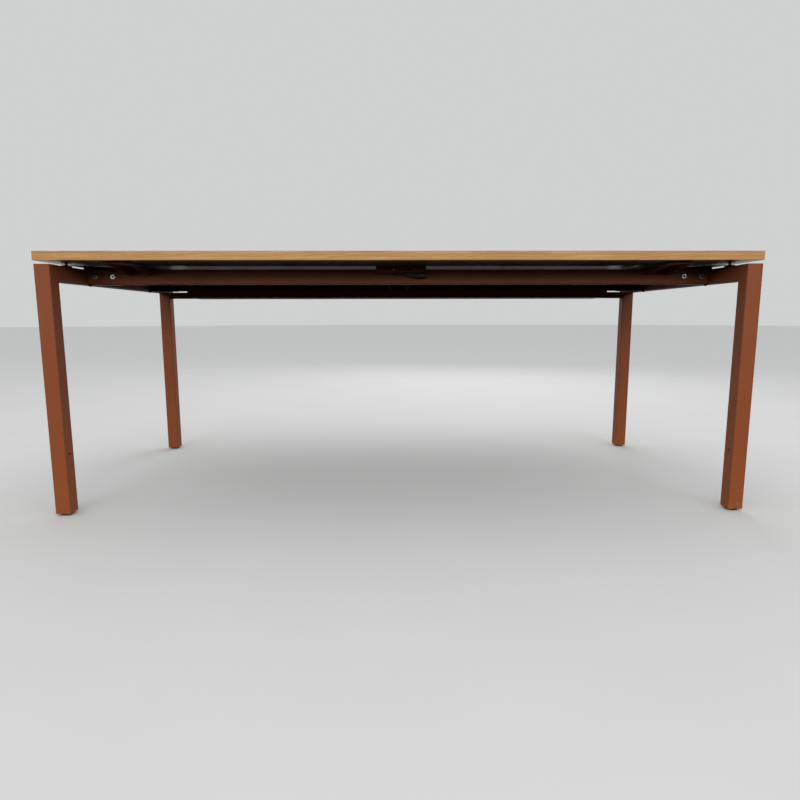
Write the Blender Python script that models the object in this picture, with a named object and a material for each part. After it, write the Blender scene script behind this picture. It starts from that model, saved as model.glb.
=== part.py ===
"""Office desk with a top that slides forward over a bolted steel frame.

Metres, +Z up, the front edge towards -Y. The origin is on the floor under the middle of the desk.
"""
import math

import bmesh
import bpy
from mathutils import Matrix, Vector

# Overall sizes
TOP_WIDTH = 2.000
TOP_DEPTH = 0.900
TOP_THICKNESS = 0.025
DESK_HEIGHT = 0.745
TOP_GAP = 0.009  # clear height between the steel frame and the top
SLIDE_TRAVEL = 0.200  # how far the top pulls forward

# Fits between pieces
SEAT = 0.0003  # gap at faces that touch
RUNNING = 0.0005  # side clearance of a sliding piece
THREAD_PLAY = 0.0001  # radial clearance of a foot's stem in its insert
PIVOT_PLAY = 0.00006  # radial clearance of the lever on its pivot

# Top board
LIPPING = 0.002
LIPPING_ROUND = 0.0008

# End frames
FRAME_INSET = 0.003  # the legs stand back from the top's front and rear edges
LEG_SIDE = 0.043
LEG_WALL = 0.002
TUBE_ROUND = 0.003
CROSS_HEIGHT = 0.045
LEG_LIFT = 0.006  # floor to the lower end of the leg tube
LEG_HOLE = 0.008
LEG_HOLE_HEIGHT = 0.179

# Levelling feet
FOOT_PAD = 0.034
FOOT_ROUND = 0.0015
STEM = 0.010
STEM_LENGTH = 0.046  # above the pad
INSERT_LENGTH = 0.030

# Pads on the cross tubes, each with a button that the top slides on
PAD_WIDTH = 0.018
PAD_LENGTH = 0.031
PAD_RISE = 0.0054  # above the frame's upper face
PAD_SETBACK = 0.1255  # from the frame's end to the pad's middle
PAD_CORNER = 0.003
PEG = 0.009
PEG_LENGTH = 0.006
BUTTON = 0.008

# Rails
RAIL_SPREAD = 0.498  # over the outer faces of both rails
RAIL_HEIGHT = 0.044
RAIL_DEPTH = 0.040
RAIL_SHEET = 0.0025
RAIL_BEND = 0.0035
RAIL_END_GAP = 0.0008
RAIL_CORNER = 0.006  # lower corners of the outer face

# Corner brackets between rails and cross tubes
BRACKET_LENGTH = 0.098
BRACKET_PLATE = 0.004
BRACKET_PLAY = 0.003  # room at the ends of the rail's cut-back flanges
BRACKET_DROP = 0.0015  # below the rail
HOOK_RISE = 0.0065  # above the frame's upper face
HOOK_REACH = 0.0115  # over the cross tube
HOOK_CORNER = 0.002
GUSSET_ALONG = 0.075  # along the rail from the cross tube
GUSSET_ACROSS = 0.089  # along the cross tube from the rail's outer face
GUSSET_SHEET = 0.0015
TONGUE_REACH = 0.0125  # into the cross tube
TONGUE_WIDTH = 0.018
TONGUE_SHEET = 0.004
LOCK_INSET = 0.0065  # lock screw from the cross tube's inner face
LOCK_DEPTH = 0.026  # lock screw and tongue from the rail's outer face
LOCK_HEAD = 0.011
LOCK_HEAD_HEIGHT = 0.0045
LOCK_SHANK = 0.005
LOCK_LENGTH = 0.008

# Rail bolts and the nuts welded to the brackets
BOLT = 0.008
BOLT_HEAD = 0.0175
BOLT_HEAD_HEIGHT = 0.0032
BOLT_FACE = 0.0138  # across the flat of the head
BOLT_RIM = 0.0016
BOLT_LENGTH = 0.0165
SOCKET = 0.006  # across flats
SOCKET_DEPTH = 0.003
BOLT_INSET = 0.0222  # first bolt from the cross tube
BOLT_END = 0.0208  # second bolt from the bracket's free end
NUT = 0.013  # across flats
NUT_HEIGHT = 0.0065

# Support arms under the top
ARM_INSET = 0.162  # middle of the arm from the cross tube
ARM_WIDTH = 0.060
ARM_SHEET = 0.002
ARM_SETBACK = 0.035  # arm tip from the top's edge
ARM_ROOT_DROP = 0.0185  # below the frame's upper face, at the rail
ARM_TIP_HEIGHT = 0.0035
ARM_CORNER = 0.004
GLIDE_THICKNESS = 0.0016
GLIDE_WIDTH = 0.040

# Guide strips and travel stops under the top
GUIDE_WIDTH = 0.012
GUIDE_CLEARANCE = 0.002  # between a guide strip and the rails
STOP_X = 0.400
STOP_WIDTH = 0.016
STOP_HEIGHT = 0.016
STRIP_BEVEL = 0.001

# Catch and release lever
CATCH_WIDTH = 0.152
CATCH_DEPTH = 0.017
CATCH_HEIGHT = 0.0192
CATCH_SHEET = 0.0015
CATCH_CORNER = 0.003  # lower corners of the front and rear walls
CATCH_CLEARANCE = 0.002  # to the rail's outer face
PIVOT_X = -0.0225
PIVOT_DROP = 0.0116  # below the top
PIVOT_PIN = 0.004
PIVOT_HEAD = 0.0066
PIVOT_HEAD_HEIGHT = 0.0018
STOP_PIN_X = 0.0245
STOP_PIN_DROP = 0.0095
STOP_PIN = 0.004
LEVER_THICKNESS = 0.009
LEVER_TAIL = 0.026  # left of the pivot
LEVER_REACH = 0.0985  # right of the pivot, to the end of the paddle
LEVER_HUB = 0.0055
LEVER_DEPTH = 0.0115  # the arm's lower edge below the pivot
PADDLE_LENGTH = 0.045
PADDLE_DROP = 0.0262  # the paddle's lower edge below the pivot
PADDLE_GAP = 0.0006
NOSE_NEAR = 0.008  # nose from the pivot
NOSE_WIDTH = 0.009
NOSE_SHEET = 0.0015
NOSE_REACH = 0.026  # over the rail
BOSS_STEP = 0.0005  # between the nose and the boss that holds it
BRAKE_PAD = 0.0017
BRAKE_PAD_LENGTH = 0.022
NOSE_WINDOW = 0.002  # room around the nose in the housing
SPRING_RADIUS = 0.0036
SPRING_WIRE = 0.0007
SPRING_TURNS = 2.5
SPRING_PITCH = 0.00125

# Cable tray
TRAY_END_GAP = 0.128  # tray end from the cross tube
TRAY_FLOOR_DROP = 0.069  # below the frame's upper face
TRAY_WALL = 0.048
TRAY_SHEET = 0.0015
TRAY_LEG_SETBACK = 0.006  # rear wall in front of the leg's middle
STUD_X = 0.035
STUD_DROP = 0.030
STUD = 0.006
STUD_LENGTH = 0.014
TIE_SLOTS = 9
TIE_SLOT_LENGTH = 0.050
TIE_SLOT_WIDTH = 0.008
STRAP_SHEET = 0.003
STRAP_HEIGHT = 0.026
STRAP_RISE = 0.002  # above the tray's floor
STRAP_LAP = 0.050
STRAP_FOOT = 0.018

# Places worked out from the sizes above
SIDES = 16  # of a round piece
FINE_SIDES = 24  # of a pivot or stem
PAST = 0.010  # how far a cutting shape runs past the faces that it opens
LEFT, RIGHT = -1, 1
FRONT, REAR = -1, 1
SIDE_NAMES = {LEFT: "left", RIGHT: "right"}
END_NAMES = {FRONT: "front", REAR: "rear"}
CORNERS = [(side, end) for end in (FRONT, REAR) for side in (LEFT, RIGHT)]
UNDERSIDE = DESK_HEIGHT - TOP_THICKNESS
FRAME_TOP = UNDERSIDE - TOP_GAP
LEG_X = TOP_WIDTH / 2 - LEG_SIDE / 2
LEG_Y = TOP_DEPTH / 2 - FRAME_INSET - LEG_SIDE / 2
TUBE_INNER = LEG_X - LEG_SIDE / 2  # inner face of legs and cross tubes
RAIL_FACE = RAIL_SPREAD / 2
RAIL_TIP = RAIL_FACE - RAIL_DEPTH
RAIL_BOTTOM = FRAME_TOP - RAIL_HEIGHT
RAIL_MIDDLE = RAIL_BOTTOM + RAIL_HEIGHT / 2
RAIL_END = TUBE_INNER - RAIL_END_GAP
PAD_Y = TOP_DEPTH / 2 - FRAME_INSET - PAD_SETBACK
LOCK_X = TUBE_INNER + LOCK_INSET
LOCK_Y = RAIL_FACE - LOCK_DEPTH
TONGUE_BOTTOM = FRAME_TOP - CROSS_HEIGHT + LEG_WALL + SEAT
ARM_X = TUBE_INNER - ARM_INSET
ARM_TIP = TOP_DEPTH / 2 - ARM_SETBACK
ARM_TOP = UNDERSIDE - GLIDE_THICKNESS - 2 * SEAT
GUIDE_OUTER = ARM_X - ARM_WIDTH / 2 - RUNNING
GUIDE_HEIGHT = TOP_GAP - GUIDE_CLEARANCE - SEAT
STOP_FRONT = -RAIL_TIP + SLIDE_TRAVEL + SEAT
STOP_REAR = RAIL_TIP - SEAT
CATCH_TOP = UNDERSIDE - SEAT
CATCH_BOTTOM = CATCH_TOP - CATCH_HEIGHT
CATCH_REAR = -RAIL_FACE - CATCH_CLEARANCE
CATCH_FRONT = CATCH_REAR - CATCH_DEPTH
PIVOT_Z = UNDERSIDE - PIVOT_DROP
STOP_PIN_Z = UNDERSIDE - STOP_PIN_DROP
LEVER_FRONT = CATCH_FRONT + CATCH_SHEET + RUNNING
LEVER_REAR = LEVER_FRONT + LEVER_THICKNESS
BRAKE_BOTTOM = FRAME_TOP + SEAT
NOSE_BOTTOM = BRAKE_BOTTOM + BRAKE_PAD + SEAT
TRAY_FRONT = RAIL_FACE + SEAT
TRAY_REAR = LEG_Y - TRAY_LEG_SETBACK
TRAY_FLOOR = FRAME_TOP - TRAY_FLOOR_DROP
TRAY_END = TUBE_INNER - TRAY_END_GAP
STUD_Z = FRAME_TOP - STUD_DROP
STRAP_FRONT = TRAY_REAR + SEAT
STRAP_BOTTOM = TRAY_FLOOR + STRAP_RISE
BOLT_PLACES = {"outer": TUBE_INNER - BOLT_INSET, "inner": TUBE_INNER - BRACKET_LENGTH + BOLT_END}
RAIL_BOLT_X = [side * x for side in (LEFT, RIGHT) for x in BOLT_PLACES.values()]

for old in list(bpy.data.objects):
    bpy.data.objects.remove(old, do_unlink=True)


# Finishes

def finish(name, colour, roughness, metallic=0.0):
    made = bpy.data.materials.new(name)
    made.use_nodes = True
    shader = made.node_tree.nodes["Principled BSDF"]
    shader.inputs["Base Color"].default_value = (*colour, 1.0)
    shader.inputs["Roughness"].default_value = roughness
    shader.inputs["Metallic"].default_value = metallic
    return made


OAK = finish("oak", (0.55, 0.33, 0.14), 0.45)
BOARD = finish("veneered_board", (0.55, 0.35, 0.17), 0.5)
COPPER_COAT = finish("copper_brown_coat", (0.24, 0.08, 0.035), 0.5)
ZINC = finish("zinc", (0.62, 0.63, 0.64), 0.35, 1.0)
BLACK_STEEL = finish("black_steel", (0.02, 0.02, 0.022), 0.45, 0.6)
SPRING_STEEL = finish("spring_steel", (0.35, 0.36, 0.38), 0.3, 1.0)
BLACK_PLASTIC = finish("black_plastic", (0.018, 0.018, 0.018), 0.5)
RUBBER = finish("rubber", (0.03, 0.03, 0.03), 0.85)


# Modelling helpers

AXIS_ORDER = {"X": "yzx", "Y": "xzy", "Z": "xyz"}


def place(axis, u, v, run):
    """A point given as two values across an axis and one along it."""
    spot = Vector((0.0, 0.0, 0.0))
    for letter, value in zip(AXIS_ORDER[axis], (u, v, run)):
        setattr(spot, letter, value)
    return spot


def block(bm, x, y, z):
    """A box between two limits on each axis, in either order."""
    low = Vector([min(limits) for limits in (x, y, z)])
    high = Vector([max(limits) for limits in (x, y, z)])
    made = bmesh.ops.create_cube(bm, size=1.0)["verts"]
    bmesh.ops.scale(bm, verts=made, vec=high - low)
    bmesh.ops.translate(bm, verts=made, vec=(low + high) / 2)
    return made


def prism(bm, outline, axis, start, end):
    """A closed outline, drawn across an axis, swept along it."""
    face = bm.faces.new([bm.verts.new(place(axis, u, v, start)) for u, v in outline])
    swept = bmesh.ops.extrude_face_region(bm, geom=[face])["geom"]
    moved = [item for item in swept if isinstance(item, bmesh.types.BMVert)]
    bmesh.ops.translate(bm, verts=moved, vec=place(axis, 0.0, 0.0, end - start))


def rod(bm, axis, centre, radius, start, end, sides=SIDES):
    """A round bar along an axis."""
    turn = [math.tau * step / sides for step in range(sides)]
    outline = [(centre[0] + radius * math.cos(a), centre[1] + radius * math.sin(a)) for a in turn]
    prism(bm, outline, axis, start, end)


def turned(bm, axis, centre, profile, sides=SIDES):
    """A profile of (radius, place along the axis) spun into a closed solid."""
    points = [bm.verts.new(place(axis, centre[0] + radius, centre[1], run)) for radius, run in profile]
    lines = [bm.edges.new(pair) for pair in zip(points, points[1:])]
    bmesh.ops.spin(bm, geom=points + lines, cent=place(axis, *centre, 0.0), axis=place(axis, 0.0, 0.0, 1.0),
                   angle=math.tau, steps=sides, use_merge=True)
    bmesh.ops.remove_doubles(bm, verts=bm.verts, dist=1e-6)


def rounded(width, height, radius, u=0.0, v=0.0, steps=3):
    """The outline of a rectangle with round corners about (u, v)."""
    points = []
    for quarter, (across, up) in enumerate(((1, 1), (-1, 1), (-1, -1), (1, -1))):
        for step in range(steps + 1):
            angle = (quarter + step / steps) * math.pi / 2
            points.append((u + across * (width / 2 - radius) + radius * math.cos(angle),
                           v + up * (height / 2 - radius) + radius * math.sin(angle)))
    return points


def shape(build, *arguments, **named):
    """A new mesh holding what one of the functions above makes."""
    bm = bmesh.new()
    build(bm, *arguments, **named)
    return bm


def scratch(bm):
    bmesh.ops.recalc_face_normals(bm, faces=bm.faces)
    mesh = bpy.data.meshes.new("scratch")
    bm.to_mesh(mesh)
    bm.free()
    made = bpy.data.objects.new("scratch", mesh)
    bpy.context.collection.objects.link(made)
    return made


def combine(bm, operation, tools):
    """Cut closed shapes out of another, or join them to it."""
    made = [scratch(part) for part in (bm, *tools)]
    for tool in made[1:]:
        modifier = made[0].modifiers.new(operation, "BOOLEAN")
        modifier.operation = operation
        modifier.object = tool
    graph = bpy.context.evaluated_depsgraph_get()
    mesh = bpy.data.meshes.new_from_object(made[0].evaluated_get(graph))
    result = bmesh.new()
    result.from_mesh(mesh)
    for used in made:
        bpy.data.objects.remove(used, do_unlink=True)
    return result


def cut(bm, *tools):
    return combine(bm, "DIFFERENCE", tools)


def join(bm, *tools):
    return combine(bm, "UNION", tools)


def axis_empty(name, spot, parent=None):
    made = bpy.data.objects.new(name, None)
    bpy.context.collection.objects.link(made)
    made.parent = parent
    made.matrix_world = Matrix.Translation(spot)
    bpy.context.view_layer.update()
    return made


def piece(name, bm, look, body):
    """Make a named solid and hang it on the empty of the body that it moves with."""
    bmesh.ops.recalc_face_normals(bm, faces=bm.faces)
    mesh = bpy.data.meshes.new(name)
    bm.to_mesh(mesh)
    bm.free()
    mesh.shade_smooth()
    mesh.set_sharp_from_angle(angle=math.radians(35))
    mesh.materials.clear()
    mesh.materials.append(look)
    made = bpy.data.objects.new(name, mesh)
    bpy.context.collection.objects.link(made)
    made.parent = body
    made.matrix_parent_inverse = body.matrix_world.inverted()
    return made


# Bodies: the frame stands, the top slides along Y, the lever turns on Y, each foot runs along Z

FRAME = axis_empty("frame", (0.0, 0.0, 0.0))
TOP = axis_empty("sliding_top", (0.0, 0.0, UNDERSIDE), FRAME)
LEVER = axis_empty("lever_axis", (PIVOT_X, LEVER_FRONT, PIVOT_Z), TOP)
FEET = {(side, end): axis_empty(f"foot_axis_{END_NAMES[end]}_{SIDE_NAMES[side]}",
                                (side * LEG_X, end * LEG_Y, 0.0), FRAME)
        for side, end in CORNERS}


# Top: a veneered board with oak lippings on its four edges

inside_x = TOP_WIDTH / 2 - LIPPING - SEAT
inside_y = TOP_DEPTH / 2 - LIPPING - SEAT
board = shape(block, (-inside_x, inside_x), (-inside_y, inside_y), (UNDERSIDE, DESK_HEIGHT))
piece("worktop_board", board, BOARD, TOP)


def lipping(x, y, outward):
    """A strip on one edge of the board, with its outer corners eased."""
    bm = shape(block, x, y, (UNDERSIDE, DESK_HEIGHT))
    outward = Vector(outward)
    outer = max(vert.co.dot(outward) for vert in bm.verts)
    edges = [edge for edge in bm.edges
             if all(vert.co.dot(outward) > outer - LIPPING / 2 for vert in edge.verts)]
    bmesh.ops.bevel(bm, geom=edges, offset=LIPPING_ROUND, offset_type="OFFSET", segments=2, profile=0.5,
                    affect="EDGES", material=-1)
    return bm


for end in (FRONT, REAR):
    edge_y = end * TOP_DEPTH / 2
    band = lipping((-TOP_WIDTH / 2, TOP_WIDTH / 2), (edge_y, edge_y - end * LIPPING), (0, end, 0))
    piece(f"edge_{END_NAMES[end]}", band, OAK, TOP)
for side in (LEFT, RIGHT):
    edge_x = side * TOP_WIDTH / 2
    band = lipping((edge_x, edge_x - side * LIPPING), (-inside_y, inside_y), (side, 0, 0))
    piece(f"edge_{SIDE_NAMES[side]}", band, OAK, TOP)


# Guide strips along the arms, and the bars that stop the top at both ends of its travel

def strip(x, y, height):
    """A bar under the top with its lower edges eased."""
    bottom = UNDERSIDE - SEAT - height
    bm = shape(block, x, y, (bottom, UNDERSIDE - SEAT))
    edges = [edge for edge in bm.edges if all(vert.co.z < bottom + SEAT for vert in edge.verts)]
    bmesh.ops.bevel(bm, geom=edges, offset=STRIP_BEVEL, offset_type="OFFSET", segments=2, profile=0.5,
                    affect="EDGES", material=-1)
    return bm


for side in (LEFT, RIGHT):
    guide = strip((side * GUIDE_OUTER, side * (GUIDE_OUTER - GUIDE_WIDTH)), (-ARM_TIP, ARM_TIP), GUIDE_HEIGHT)
    piece(f"guide_strip_{SIDE_NAMES[side]}", guide, BLACK_PLASTIC, TOP)
    bar = strip((side * STOP_X - STOP_WIDTH / 2, side * STOP_X + STOP_WIDTH / 2), (STOP_FRONT, STOP_REAR),
                STOP_HEIGHT)
    piece(f"travel_stop_{SIDE_NAMES[side]}", bar, BLACK_PLASTIC, TOP)


# Catch housing: a folded box, open below, with a window for the lever's nose

nose_x = (PIVOT_X - NOSE_NEAR - NOSE_WIDTH, PIVOT_X - NOSE_NEAR)
half_catch = CATCH_WIDTH / 2
housing = shape(block, (-half_catch, half_catch), (CATCH_FRONT, CATCH_REAR), (CATCH_BOTTOM, CATCH_TOP))
lower_corners = [edge for edge in housing.edges
                 if all(vert.co.z < CATCH_BOTTOM + SEAT for vert in edge.verts)
                 and abs(edge.verts[0].co.x - edge.verts[1].co.x) < SEAT]
bmesh.ops.bevel(housing, geom=lower_corners, offset=CATCH_CORNER, offset_type="OFFSET", segments=3,
                profile=0.5, affect="EDGES", material=-1)
hollow = shape(block, (-half_catch + CATCH_SHEET, half_catch - CATCH_SHEET),
               (CATCH_FRONT + CATCH_SHEET, CATCH_REAR - CATCH_SHEET),
               (CATCH_BOTTOM - PAST, CATCH_TOP - CATCH_SHEET))
window = shape(block, (nose_x[0] - NOSE_WINDOW, nose_x[1] + NOSE_WINDOW),
               (CATCH_REAR - 2 * CATCH_SHEET, CATCH_REAR + PAST),
               (BRAKE_BOTTOM - NOSE_WINDOW, CATCH_TOP - CATCH_SHEET))
pin_holes = bmesh.new()
for x, z, size in ((PIVOT_X, PIVOT_Z, PIVOT_PIN), (STOP_PIN_X, STOP_PIN_Z, STOP_PIN)):
    rod(pin_holes, "Y", (x, z), size / 2 + SEAT, CATCH_FRONT - PAST, CATCH_REAR + PAST)
housing = cut(housing, hollow, window, pin_holes)
piece("catch_housing", housing, COPPER_COAT, TOP)


def cross_pin(x, z, size, head, head_height):
    """A headed pin through the front and rear walls of the housing."""
    face = CATCH_FRONT - SEAT
    profile = [(0.0, face - head_height), (head / 2 - head_height / 3, face - head_height),
               (head / 2, face - head_height / 2), (head / 2, face), (size / 2, face), (size / 2, CATCH_REAR),
               (0.0, CATCH_REAR)]
    return shape(turned, "Y", (x, z), profile, sides=FINE_SIDES)


pivot_screw = cross_pin(PIVOT_X, PIVOT_Z, PIVOT_PIN, PIVOT_HEAD, PIVOT_HEAD_HEIGHT)
piece("lever_pivot_screw", pivot_screw, ZINC, TOP)
stop_pin = cross_pin(STOP_PIN_X, STOP_PIN_Z, STOP_PIN, PIVOT_HEAD, PIVOT_HEAD_HEIGHT)
piece("lever_stop_pin", stop_pin, BLACK_STEEL, TOP)


# Torsion spring on the pivot, between the lever and the housing's rear wall

def coil():
    """Points of the winding, ending in a straight leg up to the housing's roof."""
    per_turn = 10
    count = round(SPRING_TURNS * per_turn)
    start = LEVER_REAR + SPRING_WIRE
    points = []
    for step in range(count + 1):
        angle = math.tau * step / per_turn
        along = start + SPRING_PITCH * step / per_turn
        points.append(Vector((PIVOT_X + SPRING_RADIUS * math.cos(angle), along,
                              PIVOT_Z + SPRING_RADIUS * math.sin(angle))))
    leg_top = CATCH_TOP - CATCH_SHEET - SPRING_WIRE
    points.append(Vector((points[-1].x, points[-1].y, leg_top)))
    gaps = [(first - second).length - SPRING_WIRE for number, first in enumerate(points[:-1])
            for second in points[number + per_turn // 2:-1]]
    print("lever_spring: least gap between turns", round(min(gaps) * 1000, 2), "mm")
    return points


curve = bpy.data.curves.new("lever_spring", "CURVE")
curve.dimensions = "3D"
curve.bevel_depth = SPRING_WIRE / 2
curve.bevel_resolution = 1
curve.use_fill_caps = True
wire = coil()
line = curve.splines.new("POLY")
line.points.add(len(wire) - 1)
for point, spot in zip(line.points, wire):
    point.co = (*spot, 1.0)
curve.materials.append(SPRING_STEEL)
spring = bpy.data.objects.new("lever_spring", curve)
bpy.context.collection.objects.link(spring)
spring.parent = TOP
spring.matrix_parent_inverse = TOP.matrix_world.inverted()


# Release lever: a tail that carries the nose, a hub, an arm under the stop pin and a paddle

def lever_outline():
    """Across Y, from the tail's lower corner round by the top; offsets are from the pivot."""
    arm_top = STOP_PIN_Z - STOP_PIN / 2 - SEAT - PIVOT_Z
    boss_top = NOSE_BOTTOM + NOSE_SHEET - BOSS_STEP - PIVOT_Z
    paddle_top = CATCH_BOTTOM - PADDLE_GAP - PIVOT_Z
    paddle_start = LEVER_REACH - PADDLE_LENGTH
    round_end = (paddle_top + PADDLE_DROP) / 2
    boss_far = -NOSE_NEAR - NOSE_WIDTH - BOSS_STEP
    points = [(-LEVER_TAIL, -LEVER_DEPTH), (-LEVER_TAIL, arm_top - NOSE_SHEET), (boss_far, arm_top),
              (boss_far, boss_top), (-NOSE_NEAR + BOSS_STEP, boss_top)]
    for step in range(7):
        angle = math.radians(150 - 25 * step)
        points.append((LEVER_HUB * math.cos(angle), LEVER_HUB * math.sin(angle)))
    points += [(STOP_PIN_X - PIVOT_X + STOP_PIN, arm_top),
               (paddle_start + LEVER_HUB, arm_top - LEVER_HUB / 2),
               (paddle_start + 2 * LEVER_HUB, paddle_top)]
    for step in range(7):
        angle = math.radians(90 - 30 * step)
        points.append((LEVER_REACH - round_end + round_end * math.cos(angle),
                       -PADDLE_DROP + round_end + round_end * math.sin(angle)))
    points += [(paddle_start + 2 * LEVER_HUB, -PADDLE_DROP + LEVER_HUB / 3),
               (paddle_start, -(LEVER_DEPTH + PADDLE_DROP) / 2),
               (paddle_start / 2, -LEVER_DEPTH - LEVER_HUB / 3)]
    return [(PIVOT_X + across, PIVOT_Z + up) for across, up in points]


lever = shape(prism, lever_outline(), "Y", LEVER_FRONT, LEVER_REAR)
nose = shape(block, nose_x, ((LEVER_FRONT + LEVER_REAR) / 2, -RAIL_FACE + NOSE_REACH),
             (NOSE_BOTTOM, NOSE_BOTTOM + NOSE_SHEET))
lever = join(lever, nose)
bore = shape(rod, "Y", (PIVOT_X, PIVOT_Z), PIVOT_PIN / 2 + PIVOT_PLAY, LEVER_FRONT - PAST, LEVER_REAR + PAST,
             sides=FINE_SIDES)
piece("release_lever", cut(lever, bore), BLACK_PLASTIC, LEVER)
brake = shape(block, nose_x, (-RAIL_FACE + NOSE_REACH - BRAKE_PAD_LENGTH, -RAIL_FACE + NOSE_REACH),
              (BRAKE_BOTTOM, BRAKE_BOTTOM + BRAKE_PAD))
piece("brake_pad", brake, RUBBER, LEVER)


# End frames: legs closed at the top, cross tubes between them, plugs, feet and pads

def leg(side, end):
    """A square tube, closed at the top, with a small hole low in its inner face."""
    x, y = side * LEG_X, end * LEG_Y
    tube = shape(prism, rounded(LEG_SIDE, LEG_SIDE, TUBE_ROUND, x, y), "Z", LEG_LIFT, FRAME_TOP)
    inner = LEG_SIDE - 2 * LEG_WALL
    hollow = shape(prism, rounded(inner, inner, TUBE_ROUND - LEG_WALL, x, y), "Z", LEG_LIFT - PAST,
                   FRAME_TOP - LEG_WALL)
    hole = shape(rod, "X", (y, LEG_HOLE_HEIGHT), LEG_HOLE / 2, x, side * (TUBE_INNER - PAST))
    return cut(tube, hollow, hole)


def cross_tube(side):
    """An open tube between two legs, with holes for its pads and lock screws and slots for the tongues."""
    outline = rounded(LEG_SIDE, CROSS_HEIGHT, TUBE_ROUND, side * LEG_X, FRAME_TOP - CROSS_HEIGHT / 2)
    reach = LEG_Y - LEG_SIDE / 2 - SEAT
    tube = shape(prism, outline, "Y", -reach, reach)
    inside = rounded(LEG_SIDE - 2 * LEG_WALL, CROSS_HEIGHT - 2 * LEG_WALL, TUBE_ROUND - LEG_WALL,
                     side * LEG_X, FRAME_TOP - CROSS_HEIGHT / 2)
    hollow = shape(prism, inside, "Y", -reach - PAST, reach + PAST)
    holes = bmesh.new()
    slots = bmesh.new()
    bottom = FRAME_TOP - CROSS_HEIGHT
    for end in (FRONT, REAR):
        rod(holes, "Z", (side * LEG_X, end * PAD_Y), PEG / 2 + SEAT, FRAME_TOP - 2 * LEG_WALL,
            FRAME_TOP + PAST)
        rod(holes, "Z", (side * LOCK_X, end * LOCK_Y), LOCK_SHANK / 2 + SEAT, bottom - PAST,
            bottom + 2 * LEG_WALL)
        block(slots, (side * (TUBE_INNER - PAST), side * (TUBE_INNER + TUBE_ROUND + SEAT)),
              (end * LOCK_Y - TONGUE_WIDTH / 2 - SEAT, end * LOCK_Y + TONGUE_WIDTH / 2 + SEAT),
              (TONGUE_BOTTOM - SEAT / 2, TONGUE_BOTTOM + TONGUE_SHEET + SEAT))
    return cut(tube, hollow, holes, slots)


def foot_insert(side, end):
    """A square plug in the leg's lower end, bored for the foot's stem."""
    x, y = side * LEG_X, end * LEG_Y
    width = LEG_SIDE - 2 * LEG_WALL - 2 * SEAT
    plug = shape(prism, rounded(width, width, TUBE_ROUND, x, y), "Z", LEG_LIFT, LEG_LIFT + INSERT_LENGTH)
    thread = shape(rod, "Z", (x, y), STEM / 2 + THREAD_PLAY, LEG_LIFT - PAST, LEG_LIFT + INSERT_LENGTH + PAST,
                   sides=FINE_SIDES)
    return cut(plug, thread)


def foot(side, end):
    """A round pad with its threaded stem."""
    pad_top = LEG_LIFT - SEAT
    profile = [(0.0, 0.0), (FOOT_PAD / 2 - FOOT_ROUND, 0.0), (FOOT_PAD / 2, FOOT_ROUND),
               (FOOT_PAD / 2, pad_top), (STEM / 2, pad_top), (STEM / 2, pad_top + STEM_LENGTH),
               (0.0, pad_top + STEM_LENGTH)]
    return shape(turned, "Z", (side * LEG_X, end * LEG_Y), profile, sides=FINE_SIDES)


def glide_pad(side, end):
    """A plastic block with round corners, a peg below and a button above."""
    x, y = side * LEG_X, end * PAD_Y
    seat = FRAME_TOP + SEAT
    top = FRAME_TOP + PAD_RISE
    pad = shape(prism, rounded(PAD_WIDTH, PAD_LENGTH, PAD_CORNER, x, y), "Z", seat, top)
    middle = (seat + top) / 2
    peg = shape(rod, "Z", (x, y), PEG / 2, seat - PEG_LENGTH, middle)
    button = shape(rod, "Z", (x, y), BUTTON / 2, middle, UNDERSIDE - SEAT)
    return join(pad, peg, button)


for side in (LEFT, RIGHT):
    piece(f"cross_tube_{SIDE_NAMES[side]}", cross_tube(side), COPPER_COAT, FRAME)
for side, end in CORNERS:
    corner = f"{END_NAMES[end]}_{SIDE_NAMES[side]}"
    piece(f"leg_{corner}", leg(side, end), COPPER_COAT, FRAME)
    piece(f"foot_insert_{corner}", foot_insert(side, end), BLACK_PLASTIC, FRAME)
    piece(f"foot_{corner}", foot(side, end), BLACK_PLASTIC, FEET[side, end])
    piece(f"glide_pad_{corner}", glide_pad(side, end), BLACK_PLASTIC, FRAME)


# Rails: folded C channels, open towards the middle of the desk

def channel(end):
    """The rail's section: outer face, two flanges and round outer bends."""
    points = [(RAIL_TIP, RAIL_BOTTOM + RAIL_SHEET), (RAIL_TIP, RAIL_BOTTOM)]
    for centre, first in ((RAIL_BOTTOM + RAIL_BEND, 270), (FRAME_TOP - RAIL_BEND, 360)):
        for step in range(4):
            angle = math.radians(first + 30 * step)
            points.append((RAIL_FACE - RAIL_BEND + RAIL_BEND * math.cos(angle),
                           centre + RAIL_BEND * math.sin(angle)))
    points += [(RAIL_TIP, FRAME_TOP), (RAIL_TIP, FRAME_TOP - RAIL_SHEET),
               (RAIL_FACE - RAIL_SHEET, FRAME_TOP - RAIL_SHEET),
               (RAIL_FACE - RAIL_SHEET, RAIL_BOTTOM + RAIL_SHEET)]
    return [(end * y, z) for y, z in points]


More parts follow.
